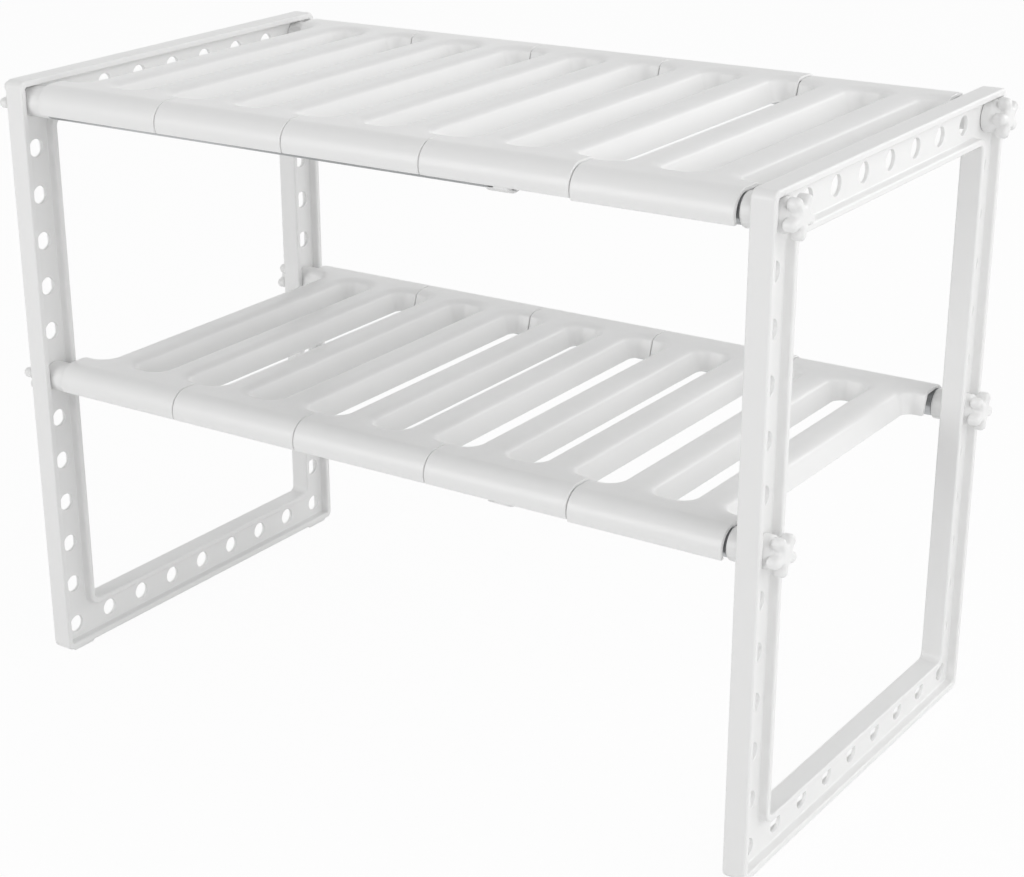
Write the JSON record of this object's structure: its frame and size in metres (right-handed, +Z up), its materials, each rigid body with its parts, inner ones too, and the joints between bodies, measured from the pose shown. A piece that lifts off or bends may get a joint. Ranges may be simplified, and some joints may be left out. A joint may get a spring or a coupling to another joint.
{
  "type": "expandable cabinet shelf",
  "caption": "Free-standing expandable cabinet shelf: slatted panels on telescoping tubes, clamped between open pegged side frames by star knobs.",
  "frame": {"origin": "on the floor, in the middle of the footprint at its narrowest width", "axes": "+Z up, +X along the width towards the frame that slides out, -Y to the front"},
  "size_m": [0.5476, 0.2888, 0.3908],
  "materials": {
    "frame_plastic": "white satin moulded plastic",
    "panel_plastic": "white satin moulded plastic",
    "fitting_plastic": "white satin moulded plastic",
    "knob_plastic": "white satin moulded plastic",
    "tube_steel": "plain drawn steel tube"
  },
  "bodies": {
    "left_side": {"left_side_frame": "frame_plastic", "lower_front_outer_tube": "tube_steel", "lower_front_tube_ferrule": "fitting_plastic", "lower_front_left_end_plug": "fitting_plastic", "lower_rear_outer_tube": "tube_steel", "lower_rear_tube_ferrule": "fitting_plastic", "lower_rear_left_end_plug": "fitting_plastic", "lower_panel_1": "panel_plastic", "upper_front_outer_tube": "tube_steel", "upper_front_tube_ferrule": "fitting_plastic", "upper_front_left_end_plug": "fitting_plastic", "upper_rear_outer_tube": "tube_steel", "upper_rear_tube_ferrule": "fitting_plastic", "upper_rear_left_end_plug": "fitting_plastic", "upper_panel_1": "panel_plastic"},
    "right_side": {"right_side_frame": "frame_plastic", "lower_front_inner_tube": "tube_steel", "lower_front_right_end_plug": "fitting_plastic", "lower_rear_inner_tube": "tube_steel", "lower_rear_right_end_plug": "fitting_plastic", "lower_panel_5": "panel_plastic", "upper_front_inner_tube": "tube_steel", "upper_front_right_end_plug": "fitting_plastic", "upper_rear_inner_tube": "tube_steel", "upper_rear_right_end_plug": "fitting_plastic", "upper_panel_5": "panel_plastic"},
    "lower_panel_2_slider": {"lower_panel_2": "panel_plastic"},
    "lower_panel_3_slider": {"lower_panel_3": "panel_plastic"},
    "lower_panel_4_slider": {"lower_panel_4": "panel_plastic"},
    "upper_panel_2_slider": {"upper_panel_2": "panel_plastic"},
    "upper_panel_3_slider": {"upper_panel_3": "panel_plastic"},
    "upper_panel_4_slider": {"upper_panel_4": "panel_plastic"},
    "lower_front_left_knob": {"lower_front_left_star_knob": "knob_plastic"},
    "lower_front_right_knob": {"lower_front_right_star_knob": "knob_plastic"},
    "lower_rear_left_knob": {"lower_rear_left_star_knob": "knob_plastic"},
    "lower_rear_right_knob": {"lower_rear_right_star_knob": "knob_plastic"},
    "upper_front_left_knob": {"upper_front_left_star_knob": "knob_plastic"},
    "upper_front_right_knob": {"upper_front_right_star_knob": "knob_plastic"},
    "upper_rear_left_knob": {"upper_rear_left_star_knob": "knob_plastic"},
    "upper_rear_right_knob": {"upper_rear_right_star_knob": "knob_plastic"}
  },
  "joints": [
    {"name": "width_extension", "type": "slide", "parent": "left_side", "child": "right_side", "axis": [1, 0, 0], "range_m": [0, 0.15]},
    {"name": "lower_panel_2_slide", "type": "slide", "parent": "left_side", "child": "lower_panel_2_slider", "axis": [1, 0, 0], "range_m": [0, 0.0375]},
    {"name": "lower_panel_3_slide", "type": "slide", "parent": "left_side", "child": "lower_panel_3_slider", "axis": [1, 0, 0], "range_m": [0, 0.075]},
    {"name": "lower_panel_4_slide", "type": "slide", "parent": "left_side", "child": "lower_panel_4_slider", "axis": [1, 0, 0], "range_m": [0, 0.1125]},
    {"name": "upper_panel_2_slide", "type": "slide", "parent": "left_side", "child": "upper_panel_2_slider", "axis": [1, 0, 0], "range_m": [0, 0.0375]},
    {"name": "upper_panel_3_slide", "type": "slide", "parent": "left_side", "child": "upper_panel_3_slider", "axis": [1, 0, 0], "range_m": [0, 0.075]},
    {"name": "upper_panel_4_slide", "type": "slide", "parent": "left_side", "child": "upper_panel_4_slider", "axis": [1, 0, 0], "range_m": [0, 0.1125]},
    {"name": "lower_front_left_knob_turn", "type": "hinge", "parent": "left_side", "child": "lower_front_left_knob", "pos_m": [-0.25705, -0.13, 0.1964], "axis": [-1, 0, 0], "continuous": true},
    {"name": "lower_front_right_knob_turn", "type": "hinge", "parent": "right_side", "child": "lower_front_right_knob", "pos_m": [0.25705, -0.13, 0.1964], "axis": [1, 0, 0], "continuous": true},
    {"name": "lower_rear_left_knob_turn", "type": "hinge", "parent": "left_side", "child": "lower_rear_left_knob", "pos_m": [-0.25705, 0.13, 0.1964], "axis": [-1, 0, 0], "continuous": true},
    {"name": "lower_rear_right_knob_turn", "type": "hinge", "parent": "right_side", "child": "lower_rear_right_knob", "pos_m": [0.25705, 0.13, 0.1964], "axis": [1, 0, 0], "continuous": true},
    {"name": "upper_front_left_knob_turn", "type": "hinge", "parent": "left_side", "child": "upper_front_left_knob", "pos_m": [-0.25705, -0.13, 0.3764], "axis": [-1, 0, 0], "continuous": true},
    {"name": "upper_front_right_knob_turn", "type": "hinge", "parent": "right_side", "child": "upper_front_right_knob", "pos_m": [0.25705, -0.13, 0.3764], "axis": [1, 0, 0], "continuous": true},
    {"name": "upper_rear_left_knob_turn", "type": "hinge", "parent": "left_side", "child": "upper_rear_left_knob", "pos_m": [-0.25705, 0.13, 0.3764], "axis": [-1, 0, 0], "continuous": true},
    {"name": "upper_rear_right_knob_turn", "type": "hinge", "parent": "right_side", "child": "upper_rear_right_knob", "pos_m": [0.25705, 0.13, 0.3764], "axis": [1, 0, 0], "continuous": true}
  ],
  "couplings": [
    {"joint": "lower_panel_2_slide", "follows": "width_extension", "ratio": 0.25},
    {"joint": "lower_panel_3_slide", "follows": "width_extension", "ratio": 0.5},
    {"joint": "lower_panel_4_slide", "follows": "width_extension", "ratio": 0.75},
    {"joint": "upper_panel_2_slide", "follows": "width_extension", "ratio": 0.25},
    {"joint": "upper_panel_3_slide", "follows": "width_extension", "ratio": 0.5},
    {"joint": "upper_panel_4_slide", "follows": "width_extension", "ratio": 0.75}
  ]
}
